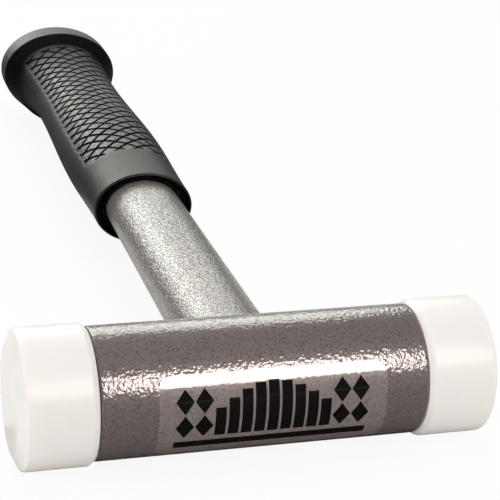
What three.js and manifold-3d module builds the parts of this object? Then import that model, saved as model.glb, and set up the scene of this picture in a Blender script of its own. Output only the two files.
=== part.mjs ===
// Dead blow hammer: a steel tube head filled with loose shot, two screw-on nylon faces,
// an oval tube handle welded to the head and a moulded rubber grip.
// Millimetres, +Z up. The head lies along X and the handle runs along +Y to its butt.
// The hammer lies on its side, with the nylon faces resting on z = 0.
import * as THREE from 'three';
import { mergeVertices } from 'three/addons/utils/BufferGeometryUtils.js';
import Module from 'manifold-3d';

const wasm = await Module();
wasm.setup();

// Clearance between pieces that fit in or seat on each other
const fitGap = 0.3;

// Head tube
const headTubeDiameter = 34;
const headTubeWall = 3.5;
const headTubeLength = 85.2;
const headTubeChamfer = 0.5;

// Nylon faces: the block outside the tube, its bevels and the spigot inside the tube
const faceDiameter = 36;
const faceLength = 19.4;
const faceBevelDepth = 1.9;
const faceBevelWidth = 4.2;
const faceHeelDepth = 2;
const faceHeelWidth = 1;
const spigotLength = 7;
const spigotChamfer = 0.8;

// Bulkheads that close the shot chamber, and the studs that hold the faces on them
const bulkheadWall = 1.7;
const bulkheadChamfer = 0.8;
const studDiameter = 10;
const studInBulkhead = 6;
const studInFace = 9;
const studChamfer = 1;

// Steel shot: balls side by side across the bore, the space over the pile,
// and the share of the chamber's length that the shot fills
const shotAcross = 3;
const shotHeadroom = 1.8;
const shotFill = 0.76;

// Handle: an oval tube, from the head's axis to a closed end inside the grip
const handleReach = 293;
const handleWidthAtHead = 24.5;
const handleHeightAtHead = 19.3;
const handleWidthAtGrip = 23;
const handleHeightAtGrip = 18.2;
const handleWall = 1.8;
const weldLeg = 1.8;
const weldHollow = 0.35;

// Grip: rubber thickness at the sides and over the top, from the mouth to the butt
const gripLength = 165;
const gripEndWall = 8;
const mouthSide = 3.7;
const mouthTop = 2.7;
const mouthRecess = 2.5;
const mouthLip = 1.1;
const mouthRound = 0.6;
const bellySide = 5.4;
const bellyTop = 4.3;
const bellyFromMouth = 44;
const neckSide = 4.1;
const neckTop = 3.3;
const neckFromButt = 57;
const knobSide = 10.5;
const knobTop = 7.2;
const knobRound = 4;
const flarePower = 3;
const buttInset = 3;

// Diamond grooves over the top and the bottom of the grip
const panelFromMouth = 26;
const panelFromButt = 23;
const diamondLength = 5.4;
const grooveDepth = 0.6;

// Facets round a turned piece, round the grip, and the half width of a groove panel in facets
const mergeDistance = 1e-4;
const turnSides = 48;
const innerSides = 32;
const studSides = 16;
const gripSides = 48;
const panelHalfSides = 9;
const mouthRings = 5;
const flareRings = 6;
const buttRings = 4;

// Places worked out from the sizes
const headTubeRadius = headTubeDiameter / 2;
const boreRadius = headTubeRadius - headTubeWall;
const halfHead = headTubeLength / 2;
const faceRadius = faceDiameter / 2;
const studRadius = studDiameter / 2;
const shotDiameter = (2 * boreRadius - (shotAcross + 1) * fitGap - shotHeadroom) / shotAcross;
const bulkheadThickness = studInBulkhead + fitGap + bulkheadWall;
const bulkheadOuter = halfHead - spigotLength;
const chamberHalf = bulkheadOuter - bulkheadThickness;
const mouthAlong = handleReach - gripLength;
const handleEnd = handleReach - gripEndWall;

const paint = () => new THREE.MeshStandardMaterial({ color: '#6f6864', roughness: 0.28, metalness: 0.45 });
const nylon = () => new THREE.MeshStandardMaterial({ color: '#f1eeea', roughness: 0.42, metalness: 0 });
const rubber = () => new THREE.MeshStandardMaterial({ color: '#2c2b2a', roughness: 0.72, metalness: 0 });
const steel = () => new THREE.MeshStandardMaterial({ color: '#9a9b9d', roughness: 0.35, metalness: 0.9 });

// Closed skin with shared corners, no empty triangles and its faces pointing out
function closedSkin(geometry) {
  geometry.deleteAttribute('normal');
  geometry.deleteAttribute('uv');
  const merged = mergeVertices(geometry, mergeDistance);
  const corners = merged.index.array;
  const [a, b, c] = [new THREE.Vector3(), new THREE.Vector3(), new THREE.Vector3()];
  const kept = [];
  let volume = 0;
  for (let i = 0; i < corners.length; i += 3) {
    const [p, q, r] = corners.slice(i, i + 3);
    if (p === q || q === r || r === p) continue;
    kept.push(p, q, r);
    a.fromBufferAttribute(merged.attributes.position, p);
    b.fromBufferAttribute(merged.attributes.position, q);
    c.fromBufferAttribute(merged.attributes.position, r);
    volume += a.dot(b.cross(c)) / 6;
  }
  merged.setIndex(volume > 0 ? kept : kept.reverse());
  merged.computeVertexNormals();
  return merged;
}

// Revolve about the head's axis: each profile point is [distance along X, radius]
function turned(profile, sides) {
  const points = profile.map(([along, radius]) => new THREE.Vector2(radius, along));
  return closedSkin(new THREE.LatheGeometry(points, sides).rotateZ(-Math.PI / 2));
}

// Skin over triangles given as lists of three points
function skinOf(triangles) {
  const geometry = new THREE.BufferGeometry().setFromPoints(triangles.flat());
  geometry.setIndex([...Array(triangles.length * 3).keys()]);
  return closedSkin(geometry);
}

// Band of triangles between two rings with the same number of points
function band(ringA, ringB) {
  return ringA.flatMap((point, i) => {
    const j = (i + 1) % ringA.length;
    return [[point, ringB[i], ringA[j]], [ringA[j], ringB[i], ringB[j]]];
  });
}

// Fan of triangles that closes a ring on its middle
function fan(ring) {
  const middle = ring.reduce((sum, point) => sum.add(point), new THREE.Vector3()).divideScalar(ring.length);
  return ring.map((point, i) => [point, ring[(i + 1) % ring.length], middle]);
}

// Oval ring across the handle, given its half width, half height and distance from the head's axis
function ovalRing(halfWidth, halfHeight, along, sides) {
  return Array.from({ length: sides }, (_, i) => {
    const angle = (i / sides) * Math.PI * 2;
    return new THREE.Vector3(halfWidth * Math.cos(angle), along, halfHeight * Math.sin(angle));
  });
}

function toSolid(geometry) {
  const vertProperties = Float32Array.from(geometry.attributes.position.array);
  return new wasm.Manifold(new wasm.Mesh({
    numProp: 3, vertProperties, triVerts: Uint32Array.from(geometry.index.array),
  }));
}

function fromSolid(solid) {
  const mesh = solid.getMesh();
  const geometry = new THREE.BufferGeometry();
  geometry.setAttribute('position', new THREE.BufferAttribute(mesh.vertProperties, 3));
  geometry.setIndex(new THREE.BufferAttribute(mesh.triVerts, 1));
  return closedSkin(geometry);
}

const easing = (t) => (1 - Math.cos(Math.PI * t)) / 2;

// Head tube: open at both ends, with its edges broken
function headTube() {
  const edge = headTubeChamfer;
  return turned([
    [-halfHead, boreRadius + edge], [-halfHead, headTubeRadius - edge],
    [-halfHead + edge, headTubeRadius], [halfHead - edge, headTubeRadius],
    [halfHead, headTubeRadius - edge], [halfHead, boreRadius + edge],
    [halfHead - edge, boreRadius], [-halfHead + edge, boreRadius],
    [-halfHead, boreRadius + edge],
  ], turnSides);
}

// Nylon face for the +X end: bevelled striking end, heel, spigot and a blind hole for the stud
function nylonFace() {
  const strike = halfHead + fitGap + faceLength;
  const heel = halfHead + fitGap;
  const spigotEnd = bulkheadOuter + fitGap;
  const spigotRadius = boreRadius - fitGap;
  const holeRadius = studRadius + fitGap;
  const holeEnd = bulkheadOuter + studInFace + fitGap;
  return turned([
    [strike, 0], [strike, faceRadius - faceBevelWidth], [strike - faceBevelDepth, faceRadius],
    [heel + faceHeelDepth, faceRadius], [heel, faceRadius - faceHeelWidth],
    [heel, spigotRadius], [spigotEnd + spigotChamfer, spigotRadius],
    [spigotEnd, spigotRadius - spigotChamfer], [spigotEnd, holeRadius],
    [holeEnd, holeRadius], [holeEnd, 0],
  ], turnSides);
}

// Bulkhead for the +X end: a plug with a blind hole for the stud on its outer side
function bulkhead() {
  const plugRadius = boreRadius - fitGap;
  const holeRadius = studRadius + fitGap;
  const holeEnd = bulkheadOuter - studInBulkhead - fitGap;
  return turned([
    [holeEnd, 0], [holeEnd, holeRadius], [bulkheadOuter, holeRadius],
    [bulkheadOuter, plugRadius], [chamberHalf + bulkheadChamfer, plugRadius],
    [chamberHalf, plugRadius - bulkheadChamfer], [chamberHalf, 0],
  ], innerSides);
}

// Stud for the +X end: one half in the bulkhead, the other in the face
function stud() {
  const inner = bulkheadOuter - studInBulkhead;
  const outer = bulkheadOuter + studInFace;
  const tip = studRadius - studChamfer;
  return turned([
    [inner, 0], [inner, tip], [inner + studChamfer, studRadius],
    [outer - studChamfer, studRadius], [outer, tip], [outer, 0],
  ], studSides);
}

// Places of the shot: rows of balls piled on the floor of the bore, repeated along the chamber
function shotPlaces() {
  const shotRadius = shotDiameter / 2;
  const pitch = shotDiameter + fitGap;
  const reach = boreRadius * Math.cos(Math.PI / turnSides) - shotRadius - fitGap;
  const rowRise = pitch * Math.sin(Math.PI / 3);
  const floorRow = -Math.sqrt(reach ** 2 - (pitch / 2) ** 2);
  const layers = Math.floor((2 * chamberHalf * shotFill) / pitch);
  const places = [];
  for (let layer = 0; layer < layers; layer += 1) {
    const x = (layer - (layers - 1) / 2) * pitch;
    for (let row = 0, z = floorRow; z < reach; row += 1, z = floorRow + row * rowRise) {
      const halfRow = Math.sqrt(reach ** 2 - z ** 2) + mergeDistance;
      const shift = row % 2 ? 0 : pitch / 2;
      const count = Math.floor((halfRow + shift) / pitch);
      for (let i = -count; i <= count; i += 1) {
        const y = i * pitch + shift;
        if (Math.abs(y) <= halfRow) places.push(new THREE.Vector3(x, y, z));
      }
    }
  }
  return places;
}

// Half width and half height of the handle at a distance from the head's axis
function handleHalf(along) {
  const share = Math.min(along / mouthAlong, 1);
  return [
    THREE.MathUtils.lerp(handleWidthAtHead, handleWidthAtGrip, share) / 2,
    THREE.MathUtils.lerp(handleHeightAtHead, handleHeightAtGrip, share) / 2,
  ];
}

// Oval tube, lofted from the head's axis to its end in the grip, then coped to the head tube
function handleTube() {
  const stops = [0, mouthAlong, handleEnd];
  const ringAt = (along, inset) => {
    const [halfWidth, halfHeight] = handleHalf(along);
    return ovalRing(halfWidth - inset, halfHeight - inset, along, turnSides);
  };
  const outer = stops.map((along) => ringAt(along, 0));
  const inner = stops.map((along) => ringAt(along, handleWall)).reverse();
  const loop = [...outer, ...inner, outer[0]];
  const tube = skinOf(loop.slice(1).flatMap((ring, i) => band(loop[i], ring)));
  const copeRadius = headTubeRadius + fitGap;
  const cope = turned([
    [-halfHead, 0], [-halfHead, copeRadius], [halfHead, copeRadius], [halfHead, 0],
  ], turnSides);
  return fromSolid(toSolid(tube).subtract(toSolid(cope)));
}

// Fillet weld round the foot of the handle: a hollow-faced triangle swept along the saddle curve
function weldBead() {
  const [halfWidth, halfHeight] = handleHalf(headTubeRadius);
  const footRadius = headTubeRadius + fitGap;
  const sections = ovalRing(halfWidth, halfHeight, 0, turnSides).map((point) => {
    const out = new THREE.Vector3(point.x / halfWidth ** 2, 0, point.z / halfHeight ** 2).normalize();
    const footAt = (distance) => {
      const foot = point.clone().addScaledVector(out, distance);
      return foot.setY(Math.sqrt(footRadius ** 2 - foot.z ** 2));
    };
    const corner = footAt(fitGap);
    const toe = footAt(fitGap + weldLeg);
    const top = corner.clone().setY(corner.y + weldLeg);
    const waist = toe.clone().lerp(top, 0.5).lerp(corner, weldHollow);
    return [corner, toe, waist, top];
  });
  const rings = sections[0].map((_, k) => sections.map((section) => section[k]));
  const loop = [...rings, rings[0]];
  return skinOf(loop.slice(1).flatMap((ring, i) => band(loop[i], ring)));
}

// Rubber over the handle at a distance from the grip's mouth: [at the sides, over the top]
function rubberAt(fromMouth) {
  const stations = [
    [0, mouthSide, mouthTop],
    [bellyFromMouth, bellySide, bellyTop],
    [gripLength - neckFromButt, neckSide, neckTop],
    [gripLength - knobRound, knobSide, knobTop],
  ];
  const next = Math.max(stations.findIndex(([at], i) => i > 0 && fromMouth <= at), 1);
  const [[from, sideA, topA], [to, sideB, topB]] = [stations[next - 1], stations[next]];
  const way = (fromMouth - from) / (to - from);
  const share = next === stations.length - 1 ? way ** flarePower : easing(way);
  return [THREE.MathUtils.lerp(sideA, sideB, share), THREE.MathUtils.lerp(topA, topB, share)];
}

// Moulded grip: a blind oval bore, a recessed mouth, a barrel body, groove panels and a knob
function grip() {
  const halfWidth = handleWidthAtGrip / 2;
  const halfHeight = handleHeightAtGrip / 2;
  const ringAt = (fromMouth, side, top) =>
    ovalRing(halfWidth + side, halfHeight + top, mouthAlong + fromMouth, gripSides);

  const boreEnd = handleEnd - mouthAlong + fitGap;
  const bore = [
    ringAt(boreEnd, fitGap, fitGap), ringAt(mouthRecess, fitGap, fitGap),
    ringAt(mouthRecess, mouthSide - mouthLip, mouthTop - mouthLip),
    ringAt(0, mouthSide - mouthLip, mouthTop - mouthLip),
    ringAt(0, mouthSide - mouthRound, mouthTop - mouthRound),
  ];

  const panelEnd = gripLength - panelFromButt;
  const panelRows = 2 * Math.round((panelEnd - panelFromMouth) / diamondLength);
  const bodyStops = [
    ...Array.from({ length: mouthRings }, (_, i) =>
      THREE.MathUtils.lerp(mouthRound, panelFromMouth, i / mouthRings)),
    ...Array.from({ length: panelRows }, (_, i) =>
      THREE.MathUtils.lerp(panelFromMouth, panelEnd, i / panelRows)),
    ...Array.from({ length: flareRings + 1 }, (_, i) =>
      THREE.MathUtils.lerp(panelEnd, gripLength - knobRound, i / flareRings)),
  ];

  // Grooves cross at every second corner of the panel's mesh, and each corner between is a diamond's peak
  const quarter = gripSides / 4;
  const fromCrest = (column) => Math.abs(((column + quarter) % (2 * quarter)) - quarter);
  const inPanel = (row, column) =>
    row > mouthRings && row < mouthRings + panelRows && quarter - fromCrest(column) < panelHalfSides;
  const isCrossing = (row, column) => (row + column) % 2 === 0;
  const body = bodyStops.map((fromMouth, row) => {
    const [side, top] = rubberAt(fromMouth);
    const surface = ringAt(fromMouth, side, top);
    const floor = ringAt(fromMouth, side - grooveDepth, top - grooveDepth);
    return surface.map((point, column) =>
      (inPanel(row, column) && isCrossing(row, column) ? floor[column] : point));
  });
  const skin = body.slice(1).flatMap((ring, row) => ring.flatMap((_, column) => {
    const next = (column + 1) % gripSides;
    const [a, b, c, d] = [body[row][column], body[row][next], ring[next], ring[column]];
    return isCrossing(row, column) ? [[a, c, b], [a, d, c]] : [[a, d, b], [b, d, c]];
  }));

  const butt = Array.from({ length: buttRings }, (_, i) => {
    const angle = ((i + 1) / buttRings) * (Math.PI / 2);
    const inset = buttInset * (1 - Math.cos(angle));
    const fromMouth = gripLength - knobRound + knobRound * Math.sin(angle);
    return ringAt(fromMouth, knobSide - inset, knobTop - inset);
  });

  const inside = [...bore, body[0]];
  const outside = [body.at(-1), ...butt];
  return skinOf([
    ...fan(bore[0]),
    ...inside.slice(1).flatMap((ring, i) => band(inside[i], ring)),
    ...skin,
    ...outside.slice(1).flatMap((ring, i) => band(outside[i], ring)),
    ...fan(butt.at(-1).toReversed()),
  ]);
}

function piece(name, geometry, material) {
  const mesh = new THREE.Mesh(geometry, material);
  mesh.name = name;
  return mesh;
}

// The pieces of one end of the head; the left end is the right end turned about the vertical
function headEnd(side) {
  const end = new THREE.Group();
  end.add(
    piece(`${side}_bulkhead`, bulkhead(), steel()),
    piece(`${side}_stud`, stud(), steel()),
    piece(`${side}_face`, nylonFace(), nylon()),
  );
  if (side === 'left') end.rotation.z = Math.PI;
  return end;
}

const head = new THREE.Group();
head.add(piece('head_tube', headTube(), paint()), headEnd('left'), headEnd('right'));
shotPlaces().forEach((place, i) => {
  const name = `shot_${String(i + 1).padStart(2, '0')}`;
  const ball = piece(name, new THREE.IcosahedronGeometry(shotDiameter / 2, 1), steel());
  ball.position.copy(place);
  head.add(ball);
});

const handle = new THREE.Group();
handle.add(
  piece('weld_bead', weldBead(), paint()),
  piece('handle_tube', handleTube(), paint()),
  piece('grip', grip(), rubber()),
);

// The origin is under the middle of the hammer, so the head's axis stands back by half its length
const hammer = new THREE.Group();
hammer.add(head, handle);
hammer.position.set(0, (faceRadius - handleReach) / 2, faceRadius);

export default hammer;
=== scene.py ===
import math
import bmesh
import bpy
from mathutils import Matrix, Vector


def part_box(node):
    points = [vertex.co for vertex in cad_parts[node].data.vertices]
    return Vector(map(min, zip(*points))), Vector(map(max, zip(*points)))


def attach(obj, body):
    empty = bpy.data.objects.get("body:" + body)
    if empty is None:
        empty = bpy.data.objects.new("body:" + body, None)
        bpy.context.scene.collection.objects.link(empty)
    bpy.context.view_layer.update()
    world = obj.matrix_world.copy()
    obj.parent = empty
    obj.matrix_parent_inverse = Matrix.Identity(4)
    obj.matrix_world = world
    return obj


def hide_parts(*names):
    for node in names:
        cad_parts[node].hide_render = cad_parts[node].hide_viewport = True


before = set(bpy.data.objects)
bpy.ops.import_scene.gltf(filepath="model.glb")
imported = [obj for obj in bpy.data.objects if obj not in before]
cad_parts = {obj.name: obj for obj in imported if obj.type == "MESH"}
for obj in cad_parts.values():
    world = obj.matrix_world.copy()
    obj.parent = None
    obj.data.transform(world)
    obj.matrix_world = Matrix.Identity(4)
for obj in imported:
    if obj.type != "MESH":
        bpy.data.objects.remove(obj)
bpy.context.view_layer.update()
mm = 0.001

# The head's axis runs along X through the middle of the head tube, and sizes below are mm from there
tubeLow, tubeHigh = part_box("head_tube")
headMiddle = (tubeLow + tubeHigh) / 2
headHalf = (tubeHigh.x - tubeLow.x) / 2 / mm
headRadius = (tubeHigh.z - tubeLow.z) / 2 / mm
print("frame loaded, head tube", round(2 * headRadius, 1), "x", round(2 * headHalf, 1), "mm")


def blend(a, b, share):
    return a + (b - a) * share


def quarterTurn(steps):
    return [math.pi / 2 * s / steps for s in range(steps + 1)]


def hexLinear(code):
    shades = [int(code[i:i + 2], 16) / 255 for i in (1, 3, 5)]
    return [s / 12.92 if s <= 0.04045 else ((s + 0.055) / 1.055) ** 2.4 for s in shades] + [1.0]


# Sets a node's inputs; each is a value, a socket, or a node whose first live output is linked
def setInputs(tree, node, inputs):
    for name, value in inputs.items() if isinstance(inputs, dict) else enumerate(inputs):
        if isinstance(value, bpy.types.Node):
            value = next(output for output in value.outputs if output.enabled)
        if isinstance(value, bpy.types.NodeSocket):
            tree.links.new(value, node.inputs[name])
        else:
            node.inputs[name].default_value = value


# Adds a node, a shader node unless its kind says more
def addNode(tree, kind, inputs=(), **settings):
    node = tree.nodes.new(kind if "Node" in kind else "ShaderNode" + kind)
    for setting, value in settings.items():
        setattr(node, setting, value)
    setInputs(tree, node, inputs)
    return node


# A material with its constant values on the shader's sockets
def newMaterial(name, values):
    material = bpy.data.materials.new(name)
    material.use_nodes = True
    skin = material.node_tree.nodes["Principled BSDF"]
    setInputs(material.node_tree, skin, values)
    return material, material.node_tree, skin


# A material for a piece, with the place in the object that its patterns follow
def newFinish(name, values):
    material, tree, skin = newMaterial(name, values)
    return material, tree, skin, addNode(tree, "TexCoord").outputs["Object"]


# Colours a skin from one shade to another by a share
def tintSkin(tree, skin, share, fromShade, toShade):
    shades = {0: share, 6: hexLinear(fromShade), 7: hexLinear(toShade)}
    setInputs(tree, skin, {"Base Color": addNode(tree, "Mix", shades, data_type="RGBA")})


# Colours a skin in soft patches of two shades, with the size of a patch in mm
def mottleSkin(tree, skin, place, size, fromShade, toShade, detail=2.0):
    patches = addNode(tree, "TexNoise", {"Vector": place, "Scale": 1 / (size * mm), "Detail": detail})
    tintSkin(tree, skin, patches, fromShade, toShade)


# Hammertone enamel, stoved on steel: aluminium flake under a gloss skin that dries in shallow pebbles,
# with dark flecks of less gloss between; pebbles are drawn coarser than real ones so that they show
enamelLook = {
    "paint": "#726967", "fleck": "#524b49", "fleckSize": 0.62, "fleckGloss": 0.3,
    "fleckFrom": 0.31, "fleckTo": 0.53,
    "pebble": 0.95, "pebbleHeight": 0.11, "topHeight": 0.15, "topIor": 1.8,
}


def hammertoneEnamel(name, look):
    material, tree, skin, place = newFinish(name, {
        "Metallic": 0.1, "Roughness": 0.4, "Specular IOR Level": 0.2,
        "Coat Roughness": 0.08, "Coat IOR": look["topIor"]})
    flecks = addNode(tree, "TexNoise", {
        "Vector": place, "Scale": 1 / (look["fleckSize"] * mm), "Roughness": 0.6})
    share = addNode(tree, "MapRange", {
        "Value": flecks, "From Min": look["fleckFrom"], "From Max": look["fleckTo"]})
    tintSkin(tree, skin, share, look["fleck"], look["paint"])
    gloss = addNode(tree, "MapRange", {"Value": share, "To Min": look["fleckGloss"]})
    setInputs(tree, skin, {"Coat Weight": gloss})
    pebbles = addNode(tree, "TexNoise", {
        "Vector": place, "Scale": 1 / (look["pebble"] * mm), "Detail": 1.0, "Roughness": 0.45})
    for layer, height in (("Normal", look["pebbleHeight"]), ("Coat Normal", look["topHeight"])):
        relief = addNode(tree, "Bump", {"Distance": height * mm, "Height": pebbles})
        setInputs(tree, skin, {layer: relief})
    return material


# Clear polyester film over the enamel: the same paint, a little paler, under an almost smooth top
filmLook = dict(
    enamelLook, paint="#887e7c", fleck="#69615f", fleckGloss=1.0,
    pebbleHeight=0.08, topHeight=0.014, topIor=1.75)

# The handle's coat is thinner and dries in finer, sharper pebbles; its paler grey is painted light,
# lighter than the head's paint so that the handle reads brighter
handleLook = dict(
    enamelLook, paint="#847f7a", fleck="#5f5a56", fleckSize=0.55, fleckGloss=0.0,
    fleckFrom=0.36, fleckTo=0.58, pebble=0.55, pebbleHeight=0.16, topHeight=0.21)

enamel = hammertoneEnamel("hammertone_enamel", enamelLook)
handleEnamel = hammertoneEnamel("hammertone_enamel_on_handle", handleLook)
filmOverEnamel = hammertoneEnamel("clear_film_over_enamel", filmLook)


# Screen ink on the film: dense black with a gloss top
def screenInk():
    look = {"ink": "#0a0909", "thin": "#141111", "screen": 0.9}
    material, tree, skin, place = newFinish("screen_ink", {
        "Specular IOR Level": 0.0, "Coat Weight": 0.6, "Coat Roughness": 0.05})
    mottleSkin(tree, skin, place, look["screen"], look["ink"], look["thin"], detail=1.0)
    return material


wavePeriod = 0.314  # metres that a wave texture of scale 1 takes to repeat


# Fine rings from a lathe about the head's axis, drawn coarser than real ones so that they show
def toolRings(tree, skin, place, look):
    centred = addNode(tree, "Mapping", {"Vector": place, "Location": -headMiddle})
    rings = addNode(tree, "TexWave", {
        "Vector": centred, "Scale": wavePeriod / (look["ring"] * mm), "Distortion": look["waver"],
    }, wave_type="RINGS", rings_direction="X")
    relief = addNode(tree, "Bump", {"Distance": look["deep"] * mm, "Height": rings.outputs["Fac"]})
    setInputs(tree, skin, {"Normal": relief})


# Cast nylon, turned to shape: milky white, light sinks in a little way, satin with faint tool rings
def castNylon():
    look = {
        "white": "#f3f1ef", "warm": "#efece8", "cloud": 14.0, "ring": 0.7, "deep": 0.004, "waver": 0.6}
    material, tree, skin, place = newFinish("cast_nylon", {
        "Roughness": 0.42, "Specular IOR Level": 0.2, "Coat Weight": 0.15, "Coat Roughness": 0.1,
        "Subsurface Weight": 0.5, "Subsurface Radius": (1.0, 0.9, 0.8), "Subsurface Scale": 2.5 * mm})
    mottleSkin(tree, skin, place, look["cloud"], look["white"], look["warm"])
    toolRings(tree, skin, place, look)
    return material


# Moulded rubber: charcoal with a spark-eroded grain, polished where hands rub, with painted shade that
# makes it darker and less glossy in the grooves, the mouth's recess, the flange face and towards the
# flange; the grain is drawn coarser than a real one so that it shows
def mouldedRubber():
    look = {
        "top": "#080707", "groove": "#030303", "gleam": 0.23, "leastGleam": 0.06,
        "satin": 0.34, "matt": 0.46, "bloom": 9.0, "polish": 0.2, "grain": 0.5, "grainHeight": 0.2,
    }
    material, tree, skin, place = newFinish("moulded_rubber", {})
    relief = addNode(tree, "Attribute", attribute_name="relief").outputs["Fac"]
    handled = addNode(tree, "Attribute", attribute_name="handled").outputs["Fac"]
    # relief carries the painted shade: where it is low the rubber takes the groove shade and loses gleam
    tintSkin(tree, skin, relief, look["groove"], look["top"])
    gleam = addNode(tree, "Math", [relief, look["gleam"], look["leastGleam"]], operation="MULTIPLY_ADD")
    bloom = addNode(tree, "TexNoise", {"Vector": place, "Scale": 1 / (look["bloom"] * mm), "Detail": 3.0})
    satin = addNode(tree, "MapRange", {"Value": bloom, "To Min": look["satin"], "To Max": look["matt"]})
    worn = addNode(tree, "Math", [handled, -look["polish"], satin], operation="MULTIPLY_ADD")
    grain = addNode(tree, "TexNoise", {
        "Vector": place, "Scale": 1 / (look["grain"] * mm), "Roughness": 0.6})
    bump = addNode(tree, "Bump", {"Distance": look["grainHeight"] * mm, "Height": grain})
    setInputs(tree, skin, {"Specular IOR Level": gleam, "Roughness": worn, "Normal": bump})
    return material


# Bright mild steel, turned or rolled: grey metal with fine marks round the axis
def brightSteel():
    look = {"steel": "#a5a6a8", "dull": "#86878a", "patch": 3.0, "ring": 0.5, "deep": 0.006, "waver": 0.4}
    material, tree, skin, place = newFinish("bright_steel", {"Metallic": 1.0, "Roughness": 0.3})
    mottleSkin(tree, skin, place, look["patch"], look["steel"], look["dull"])
    toolRings(tree, skin, place, look)
    return material


ink, nylon, rubber, steel = screenInk(), castNylon(), mouldedRubber(), brightSteel()
print("materials ready")


# A new object in the scene, at the origin
def newObject(name, data):
    thing = bpy.data.objects.new(name, data)
    bpy.context.scene.collection.objects.link(thing)
    return thing


# Closed mesh from points in mm about the head's middle, faces turned outwards
def makePiece(name, points, faces, material, sharpAngle=40):
    mesh = bpy.data.meshes.new(name)
    mesh.from_pydata([headMiddle + Vector(p) * mm for p in points], [], faces)
    shell = bmesh.new()
    shell.from_mesh(mesh)
    bmesh.ops.recalc_face_normals(shell, faces=shell.faces)
    shell.to_mesh(mesh)
    shell.free()
    mesh.shade_smooth()
    mesh.set_sharp_from_angle(angle=math.radians(sharpAngle))
    mesh.materials.append(material)
    return newObject(name, mesh)


def fitPiece(piece, body, slot, *nodes):
    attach(piece, body)
    if nodes:
        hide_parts(*nodes)
    print(piece.name, "on", body, len(piece.data.polygons), "faces")


# Faces between rows of point numbers; a row that repeats one number is a pole
def rowFaces(rows):
    faces = []
    for rowA, rowB in zip(rows, rows[1:]):
        for k in range(len(rowA)):
            n = (k + 1) % len(rowA)
            face = list(dict.fromkeys([rowA[k], rowA[n], rowB[n], rowB[k]]))
            if len(face) > 2:
                faces.append(face)
    return faces


# Rounds the corners of an outline of (along, radius, fillet) points with arcs that touch both edges
def filleted(corners, arcSteps=6):
    path = []
    for i, (along, radius, fillet) in enumerate(corners):
        here = Vector((along, radius))
        if not fillet:
            path.append(here)
            continue
        into = (Vector(corners[i - 1][:2]) - here).normalized()
        away = (Vector(corners[(i + 1) % len(corners)][:2]) - here).normalized()
        half = into.angle(away) / 2
        middle = here + (into + away).normalized() * fillet / math.sin(half)
        first = (here + into * fillet / math.tan(half) - middle).normalized()
        last = (here + away * fillet / math.tan(half) - middle).normalized()
        path += [middle + first.slerp(last, s / arcSteps) * fillet for s in range(arcSteps + 1)]
    return path


# Revolves an outline about the head's axis; ring closes the outline on itself
def turnedPiece(name, corners, sides, material, ring=False):
    points, rows = [], []
    for along, radius in filleted(corners):
        start = len(points)
        if radius < 1e-6:
            points.append((along, 0, 0))
            rows.append([start] * sides)
            continue
        for k in range(sides):
            turn = 2 * math.pi * k / sides
            points.append((along, radius * math.cos(turn), radius * math.sin(turn)))
        rows.append(list(range(start, start + sides)))
    return makePiece(name, points, rowFaces(rows + rows[:1] if ring else rows), material)


# The same turned piece at both ends of the head, from the outline of the right one
def turnedPair(label, outline, sides, material):
    for side, name in ((-1, "left"), (1, "right")):
        corners = [(side * along, radius, fillet) for along, radius, fillet in outline]
        yield name, turnedPiece(name + label, corners, sides, material)


# Where the box of a turned node starts and stops along the head, and its radius
def turnedSizes(low, high):
    return low.x / mm, high.x / mm, (high.z - low.z) / 2 / mm


# Runs a Geometry Nodes tree on a piece and keeps the result as its plain mesh
def growPiece(piece, tree, values):
    modifier = piece.modifiers.new(tree.name, "NODES")
    modifier.node_group = tree
    for socket in tree.interface.items_tree:
        if socket.in_out == "INPUT" and socket.name in values:
            modifier[socket.identifier] = values[socket.name]
    graph = bpy.context.evaluated_depsgraph_get()
    grown = bpy.data.meshes.new_from_object(
        piece.evaluated_get(graph), preserve_all_data_layers=True, depsgraph=graph)
    piece.modifiers.remove(modifier)
    piece.data = grown
    return piece


# An empty Geometry Nodes tree whose inputs carry the names of a piece's sizes
def newTree(name, sizes):
    tree = bpy.data.node_groups.new(name, "GeometryNodeTree")
    tree.interface.new_socket("Geometry", in_out="INPUT", socket_type="NodeSocketGeometry")
    for size in sizes:
        tree.interface.new_socket(size, in_out="INPUT", socket_type="NodeSocketFloat")
    tree.interface.new_socket("finish", in_out="INPUT", socket_type="NodeSocketMaterial")
    tree.interface.new_socket("Geometry", in_out="OUTPUT", socket_type="NodeSocketGeometry")
    return tree, addNode(tree, "NodeGroupInput").outputs


def endTree(tree, geometry, finish):
    real = addNode(tree, "GeometryNodeRealizeInstances", {"Geometry": geometry})
    dressed = addNode(tree, "GeometryNodeSetMaterial", {"Geometry": real, "Material": finish})
    addNode(tree, "NodeGroupOutput", {"Geometry": dressed})


# Head tube: a plain steel tube with its edges broken, trimmed a hair so that a seam shows at each face
headTube = {"bore": 13.5, "edge": 0.5, "trim": 0.35, "sides": 192}


def makeHeadTube():
    bore, edge, half = headTube["bore"], headTube["edge"], headHalf - headTube["trim"]
    tube = turnedPiece("headTube", [
        (-half, bore, edge), (-half, headRadius, edge), (half, headRadius, edge), (half, bore, edge),
    ], headTube["sides"], enamel, ring=True)
    fitPiece(tube, "head", "hammertone_paint", "head_tube")


# Clear film on the front of the head: ends along it, and edges as angles up from the front
film = {
    "left": -28.0, "right": 31.0, "top": 36.0, "bottom": -48.0, "lift": 0.02, "thickness": 0.05,
    "corner": 3.5, "cornerSteps": 10, "rows": 48,
}


def aroundHead(along, angle, radius):
    turn = math.radians(angle)
    return along, -radius * math.cos(turn), radius * math.sin(turn)


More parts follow.
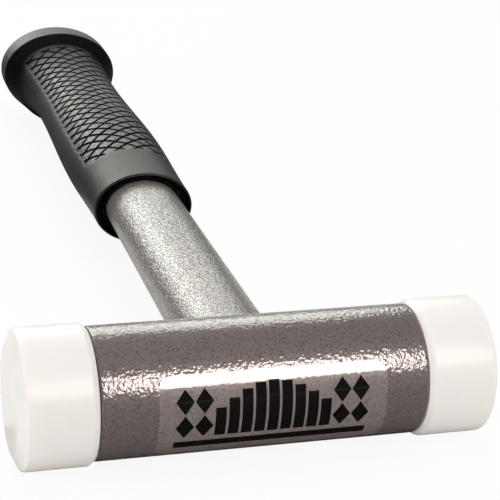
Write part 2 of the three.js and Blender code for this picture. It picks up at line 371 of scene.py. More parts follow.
def makeFilm():
    corner, rows = film["corner"], film["rows"]
    cornerTurn = math.degrees(corner / headRadius)
    bends = quarterTurn(film["cornerSteps"])
    # columns along the head, with the share of a corner that each one loses at both edges
    columns = [(film["left"] + corner * (1 - math.cos(t)), 1 - math.sin(t)) for t in bends]
    columns += [(film["right"] - corner * (1 - math.cos(t)), 1 - math.sin(t)) for t in reversed(bends)]
    inner = headRadius + film["lift"]
    outer = inner + film["thickness"]
    points, rings = [], []
    # each column goes down the outer skin and back up the inner one
    for along, cut in columns:
        top, bottom = film["top"] - cut * cornerTurn, film["bottom"] + cut * cornerTurn
        angles = [blend(top, bottom, r / rows) for r in range(rows + 1)]
        start = len(points)
        points += [aroundHead(along, a, outer) for a in angles]
        points += [aroundHead(along, a, inner) for a in reversed(angles)]
        rings.append(list(range(start, len(points))))
    faces = rowFaces(rings)
    for ring in (rings[0], rings[-1]):
        faces += [[ring[r], ring[r + 1], ring[-2 - r], ring[-1 - r]] for r in range(rows)]
    sheet = makePiece("labelFilm", points, faces, filmOverEnamel)
    fitPiece(sheet, "head", "hammertone_paint")


# Plain geometric print on the film: stepped bars on a rail, with lozenges at both ends
inkPrint = {
    "middle": 1.2, "baseAngle": -21.0, "ink": 0.012, "clear": 0.004, "merge": 0.1,
    "rail": 50.0, "railHeight": 2.6, "railDrop": 1.1,
    "bars": 9, "barPitch": 3.4, "barWidth": 2.75, "barTall": 14.2, "barShort": 8.2,
    "lozengeWide": 4.7, "lozengeTall": 6.6, "lozengePitch": 4.9, "lozengeRise": 6.9, "lozengeFrom": 17.8,
}
# Points along and up in each form's grid
printGrids = {"bar": (3, 25), "rail": (3, 5), "lozenge": (13, 13), "patch": (2, 2)}


# Bars: unit grids on a line of points, scaled under an arch
def steppedBars(tree, given):
    bars = inkPrint["bars"]
    rowStart = addNode(tree, "Math", [given["barPitch"], (1 - bars) / 2], operation="MULTIPLY")
    spots = addNode(tree, "GeometryNodeMeshLine", {
        "Count": bars, "Start Location": addNode(tree, "CombineXYZ", [rowStart]),
        "Offset": addNode(tree, "CombineXYZ", [given["barPitch"]])})
    unit = addNode(tree, "GeometryNodeMeshGrid", [1.0, 1.0, *printGrids["bar"]])
    upright = addNode(tree, "GeometryNodeTransform", {"Geometry": unit, "Translation": (0, 0.5, 0)})
    spotX = addNode(tree, "SeparateXYZ", [addNode(tree, "GeometryNodeInputPosition")]).outputs[0]
    share = addNode(tree, "Math", [spotX, rowStart], operation="DIVIDE")
    swing = addNode(tree, "Math", [share, math.pi / 2], operation="MULTIPLY")
    arch = addNode(tree, "Math", [swing], operation="COSINE")
    tall = addNode(tree, "MapRange", {
        "Value": arch, "To Min": given["barShort"], "To Max": given["barTall"]})
    barSize = addNode(tree, "CombineXYZ", [given["barWidth"], tall, 1.0])
    return addNode(tree, "GeometryNodeInstanceOnPoints", {
        "Points": spots, "Instance": upright, "Scale": barSize})


# Lozenges: squares with a diagonal of 1, on a corner, in two rows of two at each end
def lozengePatches(tree, given):
    side = math.sqrt(0.5)
    square = addNode(tree, "GeometryNodeMeshGrid", [side, side, *printGrids["lozenge"]])
    turned = addNode(tree, "GeometryNodeTransform", {"Geometry": square, "Rotation": (0, 0, math.pi / 4)})
    size = addNode(tree, "CombineXYZ", [given["lozengeWide"], given["lozengeTall"], 1.0])
    lozenge = addNode(tree, "GeometryNodeTransform", {"Geometry": turned, "Scale": size})
    patch = addNode(tree, "GeometryNodeMeshGrid", [
        given["lozengePitch"], given["lozengeRise"], *printGrids["patch"]])
    middle = addNode(tree, "Math", [
        given["lozengePitch"], 0.5, given["lozengeFrom"]], operation="MULTIPLY_ADD")
    reach = addNode(tree, "Math", [given["lozengeRise"], given["lozengeTall"]], operation="ADD")
    lift = addNode(tree, "Math", [reach, 0.5], operation="MULTIPLY")
    patches = []
    for end in (-1, 1):
        across = addNode(tree, "Math", [middle, end], operation="MULTIPLY")
        place = addNode(tree, "CombineXYZ", [across, lift])
        laid = addNode(tree, "GeometryNodeTransform", {"Geometry": patch, "Translation": place})
        patches.append(addNode(tree, "GeometryNodeInstanceOnPoints", {
            "Points": laid, "Instance": lozenge}))
    return patches


def wrappedPrint():
    tree, given = newTree("wrapped_print", [
        "radius", "ink", "baseTurn", "middle", "rail", "railHeight",
        "barPitch", "barWidth", "barTall", "barShort",
        "lozengeWide", "lozengeTall", "lozengePitch", "lozengeRise", "lozengeFrom"])
    rail = addNode(tree, "GeometryNodeMeshGrid", [
        given["rail"], given["railHeight"], *printGrids["rail"]])
    drop = addNode(tree, "Math", [given["railHeight"], -inkPrint["railDrop"]], operation="MULTIPLY")
    railPlace = addNode(tree, "CombineXYZ", [0.0, drop])
    railLaid = addNode(tree, "GeometryNodeTransform", {"Geometry": rail, "Translation": railPlace})
    flat = addNode(tree, "GeometryNodeJoinGeometry")
    for group in (steppedBars(tree, given), railLaid, *lozengePatches(tree, given)):
        setInputs(tree, flat, [group])
    real = addNode(tree, "GeometryNodeRealizeInstances", [flat])
    # wrap: X stays along the head, and height becomes an arc, turned forward from the top of the film
    here = addNode(tree, "SeparateXYZ", [addNode(tree, "GeometryNodeInputPosition")]).outputs
    along = addNode(tree, "Math", [here[0], given["middle"]], operation="ADD")
    spoke = addNode(tree, "CombineXYZ", [along, 0.0, given["radius"]])
    arc = addNode(tree, "Math", [here[1], given["radius"]], operation="DIVIDE")
    turn = addNode(tree, "Math", [given["baseTurn"], arc], operation="SUBTRACT")
    bent = addNode(tree, "VectorRotate", {"Vector": spoke, "Angle": turn}, rotation_type="X_AXIS")
    wrapped = addNode(tree, "GeometryNodeSetPosition", {"Geometry": real, "Position": bent})
    # thickness: the raised skin and its walls, closed by the flipped underside
    raised = addNode(tree, "GeometryNodeExtrudeMesh", {
        "Mesh": wrapped, "Offset Scale": given["ink"], "Individual": False})
    under = addNode(tree, "GeometryNodeFlipFaces", [wrapped])
    closed = addNode(tree, "GeometryNodeJoinGeometry")
    for skin in (raised, under):
        setInputs(tree, closed, [skin])
    merged = addNode(tree, "GeometryNodeMergeByDistance", {
        "Geometry": closed, "Distance": inkPrint["merge"] * inkPrint["ink"] * mm})
    placed = addNode(tree, "GeometryNodeTransform", {"Geometry": merged, "Translation": headMiddle})
    endTree(tree, placed, given["finish"])
    return tree


def makeInkPrint():
    sizes = dict(inkPrint, radius=headRadius + film["lift"] + film["thickness"] + inkPrint["clear"])
    values = {name: size * mm for name, size in sizes.items()}
    values.update(baseTurn=math.radians(90 - inkPrint["baseAngle"]), finish=ink)
    piece = newObject("labelPrint", bpy.data.meshes.new("labelPrint"))
    growPiece(piece, wrappedPrint(), values)
    fitPiece(piece, "head", "hammertone_paint")


# Nylon faces: bevelled striking end, chamfered heel, spigot in the tube and a blind hole for the stud
nylonFace = {
    "bevelDepth": 1.9, "bevelWidth": 4.2, "soft": 1.1, "seam": 0.3,
    "heelDepth": 1.5, "heelWidth": 1.1, "heelSoft": 0.25,
    "spigot": 13.2, "spigotEdge": 0.8, "hole": 5.3, "holeDepth": 9.0, "edge": 0.2, "sides": 192,
}


def makeFaces():
    back, strike, radius = turnedSizes(*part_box("right_face"))
    f = nylonFace
    soft, edge = f["soft"], f["edge"]
    heel = headHalf - headTube["trim"] + f["seam"]
    outline = [
        (strike, 0, 0), (strike, radius - f["bevelWidth"], soft),
        (strike - f["bevelDepth"], radius, soft), (heel + f["heelDepth"], radius, soft),
        (heel, radius - f["heelWidth"], f["heelSoft"]),
        (heel, f["spigot"], edge), (back + f["spigotEdge"], f["spigot"], edge),
        (back, f["spigot"] - f["spigotEdge"], edge), (back, f["hole"], edge),
        (back + f["holeDepth"], f["hole"], edge), (back + f["holeDepth"], 0, 0),
    ]
    for name, face in turnedPair("NylonFace", outline, f["sides"], nylon):
        fitPiece(face, name + "_face", "nylon", name + "_face")


# Bulkheads: turned plugs that close the shot chamber, with a blind hole for the stud
bulkhead = {"hole": 5.3, "holeDepth": 6.3, "holeFloor": 0.3, "holeEdge": 0.4, "edge": 0.6, "sides": 96}


def makeBulkheads():
    inner, outer, radius = turnedSizes(*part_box("right_bulkhead"))
    b = bulkhead
    floorAt = outer - b["holeDepth"]
    outline = [
        (floorAt, 0, 0), (floorAt, b["hole"], b["holeFloor"]), (outer, b["hole"], b["holeEdge"]),
        (outer, radius, b["edge"]), (inner, radius, b["edge"]), (inner, 0, 0),
    ]
    for name, plug in turnedPair("Bulkhead", outline, b["sides"], steel):
        fitPiece(plug, "head", "bare_steel", name + "_bulkhead")


# Studs: rolled threads cut into a fine turned bar by the pitch; shares of a pitch from its crest
stud = {
    "pitch": 1.5, "threadDepth": 0.8, "crestShare": 0.06, "rootShare": 0.42,
    "point": 1.0, "rowsPerPitch": 8, "sides": 48,
}


def rolledThread():
    tree, given = newTree("rolled_thread", ["pitch", "threadDepth", "root"])
    spot = addNode(tree, "GeometryNodeInputPosition")
    local = addNode(tree, "VectorMath", [spot, headMiddle], operation="SUBTRACT")
    part = addNode(tree, "SeparateXYZ", [local]).outputs
    flat = addNode(tree, "CombineXYZ", [0.0, part[1], part[2]])
    reach = addNode(tree, "VectorMath", [flat], operation="LENGTH").outputs["Value"]
    turn = addNode(tree, "Math", [part[2], part[1]], operation="ARCTAN2")
    turns = addNode(tree, "Math", [turn, 2 * math.pi], operation="DIVIDE")
    pitches = addNode(tree, "Math", [part[0], given["pitch"]], operation="DIVIDE")
    phase = addNode(tree, "Math", [pitches, turns], operation="SUBTRACT")
    wave = addNode(tree, "Math", [phase, 0.5], operation="PINGPONG")
    flank = addNode(tree, "MapRange", {
        "Value": wave, "From Min": stud["crestShare"], "From Max": stud["rootShare"]})
    cut = addNode(tree, "Math", [flank, given["threadDepth"]], operation="MULTIPLY")
    room = addNode(tree, "Math", [reach, given["root"]], operation="SUBTRACT", use_clamp=True)
    depth = addNode(tree, "Math", [cut, room], operation="MINIMUM")
    outward = addNode(tree, "VectorMath", [flat], operation="NORMALIZE")
    less = addNode(tree, "Math", [depth, -1.0], operation="MULTIPLY")
    offset = addNode(tree, "VectorMath", {0: outward, "Scale": less}, operation="SCALE")
    moved = addNode(tree, "GeometryNodeSetPosition", {"Geometry": given["Geometry"], "Offset": offset})
    endTree(tree, moved, given["finish"])
    return tree


def makeStuds():
    tree = rolledThread()
    inner, outer, radius = turnedSizes(*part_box("right_stud"))
    point, step = stud["point"], stud["pitch"] / stud["rowsPerPitch"]
    rows = int((outer - inner - 2 * point) / step)
    bar = [(inner, 0, 0), (inner, radius - point, 0)]
    bar += [(inner + point + r * step, radius, 0) for r in range(rows + 1)]
    bar += [(outer, radius - point, 0), (outer, 0, 0)]
    for name, piece in turnedPair("Stud", bar, stud["sides"], steel):
        growPiece(piece, tree, {
            "pitch": stud["pitch"] * mm, "threadDepth": stud["threadDepth"] * mm,
            "root": (radius - stud["threadDepth"]) * mm, "finish": steel})
        fitPiece(piece, name + "_stud", "bare_steel", name + "_stud")


# Steel shot: one ball on each place that the frame gives
def makeShot():
    names = sorted(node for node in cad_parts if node.startswith("shot_"))
    boxes = [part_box(node) for node in names]
    radius = (boxes[0][1].x - boxes[0][0].x) / 2
    tree, given = newTree("shot_balls", ["ballRadius"])
    ball = addNode(tree, "GeometryNodeMeshIcoSphere", {"Radius": given["ballRadius"], "Subdivisions": 3})
    smooth = addNode(tree, "GeometryNodeSetShadeSmooth", {"Geometry": ball})
    balls = addNode(tree, "GeometryNodeInstanceOnPoints", {
        "Points": given["Geometry"], "Instance": smooth})
    endTree(tree, balls, given["finish"])
    mesh = bpy.data.meshes.new("steelShot")
    mesh.from_pydata([(low + high) / 2 for low, high in boxes], [], [])
    piece = newObject("steelShot", mesh)
    growPiece(piece, tree, {"ballRadius": radius, "finish": steel})
    fitPiece(piece, "shot", "bare_steel", *names)


# Handle: an oval tube that tapers from the head to the grip, coped to the head tube
handle = {
    "widthAtHead": 25.4, "heightAtHead": 19.3, "widthAtGrip": 23.9, "heightAtGrip": 18.2,
    "mouth": 128.0, "end": 285.0, "wall": 1.8, "sides": 144, "rows": 16,
}


def handleHalf(along):
    share = min(along / handle["mouth"], 1)
    wide = blend(handle["widthAtHead"], handle["widthAtGrip"], share)
    tall = blend(handle["heightAtHead"], handle["heightAtGrip"], share)
    return wide / 2, tall / 2


def makeHandle():
    points, rows = [], []
    turns = [2 * math.pi * k / handle["sides"] for k in range(handle["sides"])]
    rootTall = handleHalf(headRadius)[1]

    # a row of the tube, some share of the way from the cope to the grip's mouth, or all at one place
    def addRow(share, inset, place=None):
        start = len(points)
        for turn in turns:
            cope = math.sqrt(headRadius ** 2 - ((rootTall - inset) * math.sin(turn)) ** 2)
            along = place or blend(cope, handle["mouth"], share)
            wide, tall = handleHalf(along)
            points.append(((wide - inset) * math.cos(turn), along, (tall - inset) * math.sin(turn)))
        rows.append(list(range(start, len(points))))

    for r in range(handle["rows"] + 1):
        addRow(r / handle["rows"], 0)
    addRow(1, 0, handle["end"])
    addRow(1, handle["wall"], handle["end"])
    addRow(1, handle["wall"], handle["mouth"])
    addRow(0, handle["wall"])
    tube = makePiece("handleTube", points, rowFaces(rows + rows[:1]), handleEnamel)
    fitPiece(tube, "head", "hammertone_paint", "handle_tube")


# Weld: a small hollow fillet round the saddle where the handle meets the head, with faint ripples
weld = {
    "leg": 2.1, "sink": 0.1, "hollow": 0.16, "ripples": 44, "rippleHeight": 0.05,
    "arcSteps": 8, "sides": 352, "sharpAngle": 60,
}


# A point just under the head's skin, some way out from the handle's edge
def weldFoot(edge, out, away):
    spot = edge + out * away
    spot.y = math.sqrt((headRadius - weld["sink"]) ** 2 - spot.z ** 2)
    return spot


def makeWeld():
    wide, tall = handleHalf(headRadius)
    points, rows = [], []
    for k in range(weld["sides"]):
        turn = 2 * math.pi * k / weld["sides"]
        edge = Vector((wide * math.cos(turn), 0, tall * math.sin(turn)))
        out = Vector((math.cos(turn) / wide, 0, math.sin(turn) / tall)).normalized()
        leg = weld["leg"] + weld["rippleHeight"] * math.sin(turn * weld["ripples"])
        root, toe = weldFoot(edge, out, -weld["sink"]), weldFoot(edge, out, leg)
        crest = root + Vector((0, leg + weld["sink"], 0))
        hollow = root + (toe - root) * weld["hollow"] + (crest - root) * weld["hollow"]
        start = len(points)
        points.append(root)
        for s in range(weld["arcSteps"] + 1):
            t = s / weld["arcSteps"]
            points.append(toe * (1 - t) ** 2 + hollow * 2 * t * (1 - t) + crest * t ** 2)
        rows.append(list(range(start, len(points))))
    bead = makePiece("weldBead", points, rowFaces(rows + rows[:1]), enamel, weld["sharpAngle"])
    fitPiece(bead, "head", "hammertone_paint", "weld_bead")


# Grip, from its mouth on: rubber thickness over an oval, at the sides and over the top; rings of the
# mouth's recess and of the flange's face note a place below zero, which paints shade on their rubber,
# deepest in the recess
grip = {
    "length": 163.0, "ovalWide": 23.0, "ovalTall": 18.2,
    "bore": 157.3, "boreGap": 0.3, "boreStraight": 1.5,
    "mouthAt": -2.6, "mouthSide": 4.5, "mouthTop": 2.7, "mouthRound": 0.6, "mouthSteps": 5,
    "recess": 2.8, "lip": 0.7, "lipEdge": 0.15, "soft": 0.2,
    "ridgeRise": 2.1, "ridgeWide": 1.15, "ridgeSoft": 0.3, "ridgeFoot": 0.05,
    "ridgeWave": 0.22, "ridgeWaves": 13,
    "bellySide": 5.4, "bellyTop": 4.7, "bellyAt": 44.0, "collarRows": 18,
    "neckSide": 4.1, "neckTop": 3.3, "neckAt": 108.0,
    "flangeAt": 142.3, "flangeSide": 5.6, "flangeTop": 3.4, "flangeRoot": 2.0,
    "flangeLong": 6.0, "flangeHigh": 4.0, "flangeShade": 5.9,
    "leanFrom": 115.0, "leanAbove": 5.3, "leanBelow": 11.0, "underFlare": 2.4, "underBlend": 1.7,
    "leanAboveCurve": 3, "leanBelowCurve": 1.5, "underCurve": 1.3,
    "rimAt": 150.1, "rimSoft": 2.3, "rimLean": 2.0, "knobSide": 10.35, "knobTop": 6.9, "knobRound": 4.0,
    "knobSteps": 10, "buttInset": 2.9, "buttCrown": 0.4, "buttSteps": 6,
    # marks below zero paint shade: none at unlitFrom, part shade on the flange face, the deepest in the
    # recess
    "unlitFrom": -1.0, "shaded": -6.6, "deepShade": -9.0,
}

# Diamond panels over the top and the underside; fades and lengths in mm, shares in diamonds
panel = {
    "diamondWide": 0.397, "diamondLength": 6.05, "firstCrossing": 24.3, "steps": 16, "halfSteps": 35,
    "start": 19.6, "end": 141.0, "fade": 0.8, "sinkFade": 7.0, "sideFade": 0.06, "sideSteps": 14,
    "grooveDepth": 0.8, "grooveShare": 0.1, "grooveShade": 0.6, "crown": 0.12, "sink": 0.12,
    # painted shade over the last mm of the panel towards the flange, down to a level of colour and gleam
    # at its end
    "flangeShadeLength": 44.0, "flangeShadeLevel": 0.0,
}
panelHalf = panel["halfSteps"] / panel["steps"]


# Rubber at the sides and over the top of the body, between its stations
def rubberAt(fromMouth):
    names = ("mouth", "belly", "neck", "flange")
    stations = [(grip[n + "At"], grip[n + "Side"], grip[n + "Top"]) for n in names]
    n = next(i for i in (1, 2, 3) if fromMouth <= stations[i][0])
    (a, sideA, topA), (b, sideB, topB) = stations[n - 1], stations[n]
    share = (fromMouth - a) / (b - a)
    share = share ** 2 if n == 3 else (1 - math.cos(math.pi * share)) / 2
    return blend(sideA, sideB, share), blend(topA, topB, share)


# Columns of the grip's net: (turn in degrees, diamonds from the middle of the panel); the net is laid
# straight down on the panel, so its diamonds stretch where the grip curves away
def netColumns():
    columns, nets = [], []
    half = math.degrees(math.asin(panelHalf * panel["diamondWide"]))
    for crest in (90, 270):
        for k in range(-panel["halfSteps"], panel["halfSteps"]):
            nets.append(k / panel["steps"])
            columns.append(crest + math.degrees(math.asin(nets[-1] * panel["diamondWide"])))
        for k in range(panel["sideSteps"]):
            nets.append(panelHalf + k)
            columns.append(crest + half + (180 - 2 * half) * k / panel["sideSteps"])
    return columns, nets


# Rows of the grip's net: the number of the first one, counted from a crossing, and all their places
def netRows():
    stride = panel["diamondLength"] / panel["steps"]
    first = math.ceil((panel["start"] - panel["firstCrossing"]) / stride) - 1
    last = math.floor((panel["end"] - panel["firstCrossing"]) / stride) + 1
    return first, [panel["firstCrossing"] + r * stride for r in range(first, last + 1)]


# Sinks the grooves of the diamond net into the panels, and notes the rubber's relief with its painted
# shade, which darkens the rubber and takes away its gleam
def diamondGrooves():
    tree, given = newTree("diamond_grooves", [
        "diamondLength", "firstCrossing", "start", "end", "halfWidth", "fade",
        "grooveDepth", "grooveShare", "crown", "sink", "sinkFade", "flangeShadeLength", "flangeShadeLevel"])
    along, around, inward = (
        addNode(tree, "GeometryNodeInputNamedAttribute", {"Name": name}, data_type=kind)
        for name, kind in (("along", "FLOAT"), ("around", "FLOAT"), ("inward", "FLOAT_VECTOR")))
    past = addNode(tree, "Math", [along, given["firstCrossing"]], operation="SUBTRACT")
    count = addNode(tree, "Math", [past, given["diamondLength"]], operation="DIVIDE")
    nearest = []
    for lean in ("ADD", "SUBTRACT"):
        line = addNode(tree, "Math", [around, count], operation=lean)
        nearest.append(addNode(tree, "Math", [line, 0.5], operation="PINGPONG"))
    net = addNode(tree, "Math", nearest, operation="MINIMUM")
    groove = addNode(tree, "MapRange", {
        "Value": net, "From Max": given["grooveShare"], "To Min": 1.0, "To Max": 0.0})
    # the panel: straight ends and sides, and a sink that begins slowly
    wide = addNode(tree, "Math", [around], operation="ABSOLUTE")
    inFrom = addNode(tree, "Math", [along, given["start"]], operation="SUBTRACT")
    inTo = addNode(tree, "Math", [given["end"], along], operation="SUBTRACT")
    inLength = addNode(tree, "Math", [inFrom, inTo], operation="MINIMUM")
    sideGap = addNode(tree, "Math", [given["halfWidth"], wide], operation="SUBTRACT")
    sideShare = addNode(tree, "MapRange", {"Value": sideGap, "From Max": panel["sideFade"]})
    masks = []
    for fade in ("fade", "sinkFade"):
        lengthShare = addNode(tree, "MapRange", {"Value": inLength, "From Max": given[fade]})
        masks.append(addNode(tree, "Math", [lengthShare, sideShare], operation="MULTIPLY"))
    mask, sinkMask = masks
    # depth: groove and pillowed diamond, then the panel's own sink
    edge = addNode(tree, "Math", [net, -2.0, 1.0], operation="MULTIPLY_ADD")
    pillow = addNode(tree, "Math", [edge, 2.0], operation="POWER")
    crown = addNode(tree, "Math", [pillow, given["crown"]], operation="MULTIPLY")
    depth = addNode(tree, "Math", [groove, given["grooveDepth"], crown], operation="MULTIPLY_ADD")
    masked = addNode(tree, "Math", [depth, mask], operation="MULTIPLY")
    sunk = addNode(tree, "Math", [sinkMask, given["sink"], masked], operation="MULTIPLY_ADD")
    metres = addNode(tree, "Math", [sunk, mm], operation="MULTIPLY")
    offset = addNode(tree, "VectorMath", {0: inward, "Scale": metres}, operation="SCALE")
    cut = addNode(tree, "GeometryNodeSetPosition", {"Geometry": given["Geometry"], "Offset": offset})
    # gleam and colour: painted shade in the grooves, on the recess and flange-face rings, and deepening
    # towards the flange
    unlit = addNode(tree, "MapRange", {
        "Value": along, "From Min": grip["unlitFrom"], "From Max": grip["deepShade"]})
    dim = addNode(tree, "Math", [groove, panel["grooveShade"]], operation="MULTIPLY")
    shade = addNode(tree, "Math", [dim, mask, unlit], operation="MULTIPLY_ADD")
    lit = addNode(tree, "Math", [1.0, shade], operation="SUBTRACT")
    # painted shade that deepens along the panel towards the flange
    shadeByFlange = addNode(tree, "MapRange", {
        "Value": inTo, "From Max": given["flangeShadeLength"], "To Min": given["flangeShadeLevel"]})
    relief = addNode(tree, "Math", [lit, shadeByFlange], operation="MULTIPLY")
    tops = addNode(tree, "Math", [relief, mask], operation="MULTIPLY")
    for name, value in (("relief", relief), ("handled", tops)):
        cut = addNode(tree, "GeometryNodeStoreNamedAttribute", {
            "Geometry": cut, "Name": name, "Value": value}, data_type="FLOAT", domain="POINT")
    endTree(tree, cut, given["finish"])
    return tree


# Bore, recess with its wavy ridge, and the mouth's rim
def addMouth(addRing):
    g = grip
    bare = [(handle[name + "AtGrip"] - g[oval]) / 2 + g["boreGap"]
            for name, oval in (("width", "ovalWide"), ("height", "ovalTall"))]
    inner = [g["mouthSide"] - g["lip"], g["mouthTop"] - g["lip"]]
    mouth, deep = g["mouthAt"], g["mouthAt"] + g["recess"]
    crest, ridge, soft, wave = deep - g["ridgeRise"], g["ridgeWide"], g["soft"], g["ridgeWave"]
    # (place, surface, how far out from it, wave) from the bottom of the bore to the lip
    for fromMouth, (side, top), out, wavy in (
        (g["bore"], bare, 0, 0), (0.5 * g["bore"], bare, 0, 0), (deep + g["boreStraight"], bare, 0, 0),
        (crest + soft, bare, 0, wave), (crest, bare, soft, wave),
        (crest, bare, ridge - g["ridgeSoft"], wave), (crest + g["ridgeSoft"], bare, ridge, wave),
        (deep, bare, ridge + g["ridgeFoot"], 0),
        (deep, inner, -soft, 0), (deep - soft, inner, 0, 0), (mouth + g["lipEdge"], inner, 0, 0),
    ):
        # the bore and the recess all take the deepest painted shade
        addRing(fromMouth, side + out, top + out, noted=g["deepShade"], wave=wavy)
    addRing(mouth, inner[0] + g["lipEdge"], inner[1] + g["lipEdge"])
    for turn in quarterTurn(g["mouthSteps"]):
        inset = g["mouthRound"] * (1 - math.sin(turn))
        fromMouth = mouth + g["mouthRound"] * (1 - math.cos(turn))
        side, top = rubberAt(fromMouth)
        addRing(fromMouth, side - inset, top - inset)


# Leaning flange with a root fillet, a face darkened by painted shade and a soft edge, then the knob and
# the butt's crown
def addKnob(addRing):
    g = grip
    knobAt = g["length"] - g["knobRound"]
    # the flange's section is drawn on a plain slope, then stretched to the rim
    long, high = g["flangeLong"], g["flangeHigh"]
    section = filleted([
        (-long / 2, 0, 0), (0, 0, g["flangeRoot"]), (long, high, g["rimSoft"]),
        (long + knobAt - g["rimAt"], high, 0),
    ])
    for past, height in section[1:]:
        share = min(max(past / long, 0), 1)
        rise = height / high
        fromMouth = blend(g["flangeAt"], g["rimAt"], share) + min(past, 0) + max(past - long, 0)
        # the flange's root and face, up to flangeShade along the section, take part painted shade
        addRing(
            fromMouth, blend(g["flangeSide"], g["knobSide"], rise),
            blend(g["flangeTop"], g["knobTop"], rise),
            noted=g["shaded"] if past < g["flangeShade"] else 0.0,
            leanUp=blend(g["leanAbove"], g["rimLean"], share),
            leanDown=blend(g["leanBelow"], g["rimLean"], share), flare=g["underFlare"] * (1 - rise))
    side, top, lean = g["knobSide"], g["knobTop"], g["rimLean"]
    for turn in quarterTurn(g["knobSteps"])[1:]:
        inset = g["buttInset"] * (1 - math.cos(turn))
        fromMouth = knobAt + g["knobRound"] * math.sin(turn)
        addRing(fromMouth, side - inset, top - inset, leanUp=lean, leanDown=lean)
    wide, tall = g["ovalWide"] / 2, g["ovalTall"] / 2
    rimWide, rimTall = wide + side - g["buttInset"], tall + top - g["buttInset"]
    for s in range(1, g["buttSteps"]):
        share = 1 - s / g["buttSteps"]
        crown = g["buttCrown"] * (1 - share ** 2)
        addRing(g["length"] + crown, rimWide * share - wide, rimTall * share - tall,
                leanUp=lean * share, leanDown=lean * share)


# Quads, but the net's cells are split along the groove that is nearest
def gripFaces(rows, nets, netFrom, netCount, firstRow):
    steps, faces = panel["steps"], []
    for r, (rowA, rowB) in enumerate(zip(rows, rows[1:])):
        netRow = r - netFrom + firstRow
        inNet = netFrom <= r < netFrom + netCount - 1
        for k in range(len(nets)):
            n = (k + 1) % len(nets)
            face = list(dict.fromkeys([rowA[k], rowA[n], rowB[n], rowB[k]]))
            if not inNet or abs(nets[k] + 0.5 / steps) > panelHalf:
                faces.append(face)
                continue
            netColumn = round(nets[k] * steps)
            addLine, lessLine = (netColumn + netRow + 1) % steps, (netColumn - netRow) % steps
            if min(addLine, steps - addLine) < min(lessLine, steps - lessLine):
                faces += [[face[0], face[1], face[3]], [face[1], face[2], face[3]]]
            else:
                faces += [[face[0], face[1], face[2]], [face[0], face[2], face[3]]]
    return faces


def makeGrip():
    g = grip
    columns, nets = netColumns()
    points, rows, along, around, inward = [], [], [], [], []

    # a ring round the grip that leans back above and forward below, and swells underneath by the flare;
    # rings of the skin note their place for the grooves, and dark rings a mark for painted shade
    def addRing(fromMouth, side, top, noted=0.0, wave=0.0, leanUp=0.0, leanDown=0.0, flare=0.0):
        start = len(points)
        for degrees, net in zip(columns, nets):
            turn = math.radians(degrees)
            under = min(max(-g["underBlend"] * math.sin(turn), 0), 1)
            swell = flare * under * under * (3 - 2 * under)
            a, b = g["ovalWide"] / 2 + side + swell, g["ovalTall"] / 2 + top + swell
            lift = wave * math.sin(turn * g["ridgeWaves"])
            lift += math.sin(turn) * (leanUp + leanDown + (leanUp - leanDown) * math.sin(turn)) / 2
            points.append((a * math.cos(turn), handle["mouth"] + fromMouth + lift, b * math.sin(turn)))
            along.append(noted)
            around.append(net)
            inward.append(-Vector((math.cos(turn) / a, 0, math.sin(turn) / b)).normalized())
        rows.append(list(range(start, len(points))))

    def addPole(fromMouth):
        points.append((0, handle["mouth"] + fromMouth, 0))
        along.append(0.0)
        around.append(0.0)
        inward.append(Vector())
        rows.append([len(points) - 1] * len(columns))

    addPole(g["bore"])
    addMouth(addRing)
    # outer skin: the smooth collar, then the fine rows of the net, which come to lean as the flange does
    firstRow, places = netRows()
    smooth, collar = g["mouthAt"] + g["mouthRound"], g["collarRows"]
    stops = [blend(smooth, places[0], k / collar) for k in range(1, collar)]
    netFrom = len(rows) + len(stops)
    for fromMouth in stops + places:
        growth = max(fromMouth - g["leanFrom"], 0) / (g["flangeAt"] - g["leanFrom"])
        addRing(
            fromMouth, *rubberAt(fromMouth), noted=fromMouth,
            leanUp=g["leanAbove"] * growth ** g["leanAboveCurve"],
            leanDown=g["leanBelow"] * growth ** g["leanBelowCurve"],
            flare=g["underFlare"] * growth ** g["underCurve"])
    addKnob(addRing)
    addPole(g["length"] + g["buttCrown"])
    faces = gripFaces(rows, nets, netFrom, len(places), firstRow)
    piece = makePiece("rubberGrip", points, faces, rubber)
    notes = piece.data.attributes
    notes.new("along", "FLOAT", "POINT").data.foreach_set("value", along)
    notes.new("around", "FLOAT", "POINT").data.foreach_set("value", around)
    flatInward = [part for way in inward for part in way]
    notes.new("inward", "FLOAT_VECTOR", "POINT").data.foreach_set("vector", flatInward)
    growPiece(piece, diamondGrooves(), dict(panel, halfWidth=panelHalf, finish=rubber))
    fitPiece(piece, "head", "grip_rubber", "grip")


makeHeadTube()
makeFilm()
makeInkPrint()
makeFaces()
makeBulkheads()
makeStuds()
makeShot()
makeHandle()
makeWeld()
makeGrip()


# A flat sheet of the stage, its edges in metres
def flatSheet(name, left, right, front, back, height, material):
    mesh = bpy.data.meshes.new(name)
    corners = [(left, front, height), (right, front, height), (right, back, height), (left, back, height)]
    mesh.from_pydata(corners, [], [(0, 1, 2, 3)])
    mesh.materials.append(material)
    return newObject(name, mesh)


# Floor: pale sheet that shows the camera and glossy rays white, with a faint shadow left in it
floor = {"half": 6.0, "paper": "#f2f2f1", "white": 0.92, "glossWhite": 0.28}


def makeFloor():
    half = floor["half"]
    material, tree, skin = newMaterial("white_paper", {
        "Base Color": hexLinear(floor["paper"]), "Roughness": 0.9})
    paths = addNode(tree, "LightPath").outputs
    seen = addNode(tree, "Math", [paths["Is Camera Ray"], floor["white"]], operation="MULTIPLY")
    mirrored = addNode(tree, "Math", [
        paths["Is Glossy Ray"], paths["Is Transmission Ray"]], operation="MAXIMUM")
    share = addNode(tree, "Math", [mirrored, floor["glossWhite"], seen], operation="MULTIPLY_ADD")
    mixed = addNode(tree, "MixShader", [share, skin, addNode(tree, "Emission")])
    setInputs(tree, tree.nodes["Material Output"], {"Surface": mixed})
    sheet = flatSheet("floor", -half, half, -half, half, 0, material)


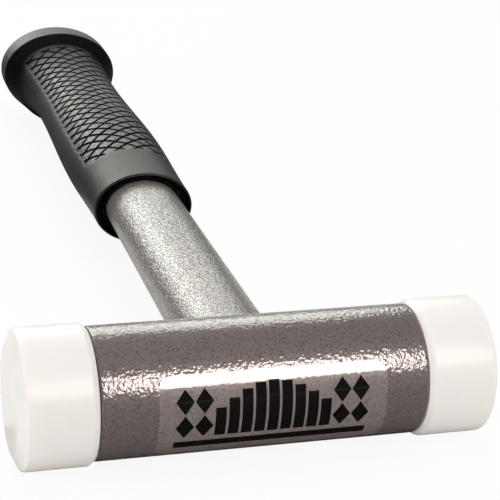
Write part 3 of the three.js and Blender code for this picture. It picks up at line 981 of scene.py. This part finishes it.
# Dark cards on the floor, in front of the head and under the grip, that only gloss sees: painted dark
# reflections, so that paint and rubber keep their dark sides; (left, right, front, back) in metres, and
# colour
darkCards = {
    "headCard": (-0.075, 0.7, -0.8375, -0.1175, "#2b2b2b"),
    "gripCard": (-0.45, 0.45, 0.04, 0.45, "#747474"),
}
cardLift = 0.2


def makeDarkCards():
    for name, (left, right, front, back, colour) in darkCards.items():
        material = newMaterial(name, {"Base Color": hexLinear(colour), "Roughness": 0.9})[0]
        card = flatSheet(name, left, right, front, back, cardLift * mm, material)
        card.visible_camera = card.visible_diffuse = card.visible_shadow = False


# World: a dim room, nearly even, so that the softboxes do the lighting
studio = {"horizon": 0.11, "overhead": 0.13, "fadeAt": 0.3}


def makeWorld():
    world = bpy.data.worlds.new("studio")
    bpy.context.scene.world = world
    world.use_nodes = True
    tree = world.node_tree
    height = addNode(tree, "SeparateXYZ", [addNode(tree, "TexCoord").outputs["Generated"]]).outputs[2]
    level = addNode(tree, "MapRange", {
        "Value": height, "From Max": studio["fadeAt"],
        "To Min": studio["horizon"], "To Max": studio["overhead"]})
    setInputs(tree, tree.nodes["Background"], {"Color": (1, 1, 1, 1), "Strength": level})


# Softboxes: (direction from the head, distance, width, height in metres, watts, colour, rays that see it)
softboxes = {
    "frontKey": ((0.266, -0.759, 0.595), 0.95, 0.55, 0.43, 9.0, "#fff3ec", "gloss"),
    "frontFill": ((0.266, -0.759, 0.595), 0.95, 0.30, 0.43, 3.7, "#fff9f5", "diffuse"),
    "leftFill": ((-0.93, -0.22, 0.30), 0.90, 0.50, 0.50, 3.4, "#fffcfa", "diffuse"),
    "rightFill": ((0.93, -0.30, 0.25), 0.90, 0.50, 0.50, 1.6, "#fffcfa", "diffuse"),
    "topFill": ((0.0, 0.1, 1.0), 1.20, 1.00, 1.00, 7.0, "#ffffff", "diffuse"),
    "backLeft": ((-0.186, 0.875, 0.446), 1.50, 0.57, 1.12, 11.4, "#fafbf4", "gloss"),
    "backRight": ((0.217, 0.876, 0.446), 1.50, 0.65, 0.80, 5.0, "#fafbf4", "gloss"),
    "backFill": ((0.0, 0.88, 0.446), 1.50, 1.10, 1.00, 10.2, "#fafbf4", "diffuse"),
}


def makeSoftboxes():
    for name, (way, distance, width, height, watts, colour, rays) in softboxes.items():
        lamp = bpy.data.lights.new(name, "AREA")
        lamp.shape, lamp.size, lamp.size_y = "RECTANGLE", width, height
        lamp.energy, lamp.color = watts, hexLinear(colour)[:3]
        box = newObject(name, lamp)
        box.location = headMiddle + Vector(way).normalized() * distance
        box.rotation_euler = (headMiddle - box.location).to_track_quat("-Z", "Y").to_euler()
        box.visible_camera = False
        box.visible_glossy = rays == "gloss"
        box.visible_diffuse = rays == "diffuse"


# Camera: turned and raised from straight on to the head's front, in degrees and mm
camera = {
    "azimuth": 17.005, "elevation": 21.958, "roll": 2.989,
    "distance": 446.95, "right": -0.227, "up": 33.394, "lens": 125.458, "sensor": 36.0,
}


def makeCamera():
    turn, tip, roll = (math.radians(camera[k]) for k in ("azimuth", "elevation", "roll"))
    look = Vector((math.sin(turn) * math.cos(tip), math.cos(turn) * math.cos(tip), -math.sin(tip)))
    level = Vector((math.cos(turn), -math.sin(turn), 0))
    lift = level.cross(look)
    right = level * math.cos(roll) + lift * math.sin(roll)
    up = lift * math.cos(roll) - level * math.sin(roll)
    spot = headMiddle + (right * camera["right"] + up * camera["up"] - look * camera["distance"]) * mm
    lens = bpy.data.cameras.new("camera")
    lens.lens, lens.sensor_width = camera["lens"], camera["sensor"]
    eye = newObject("camera", lens)
    eye.matrix_world = Matrix.Translation(spot) @ Matrix((right, up, -look)).transposed().to_4x4()
    bpy.context.scene.camera = eye


makeFloor()
makeDarkCards()
makeWorld()
makeSoftboxes()
makeCamera()
bpy.context.scene.view_settings.view_transform = "Standard"
print("stage, lights and camera ready")
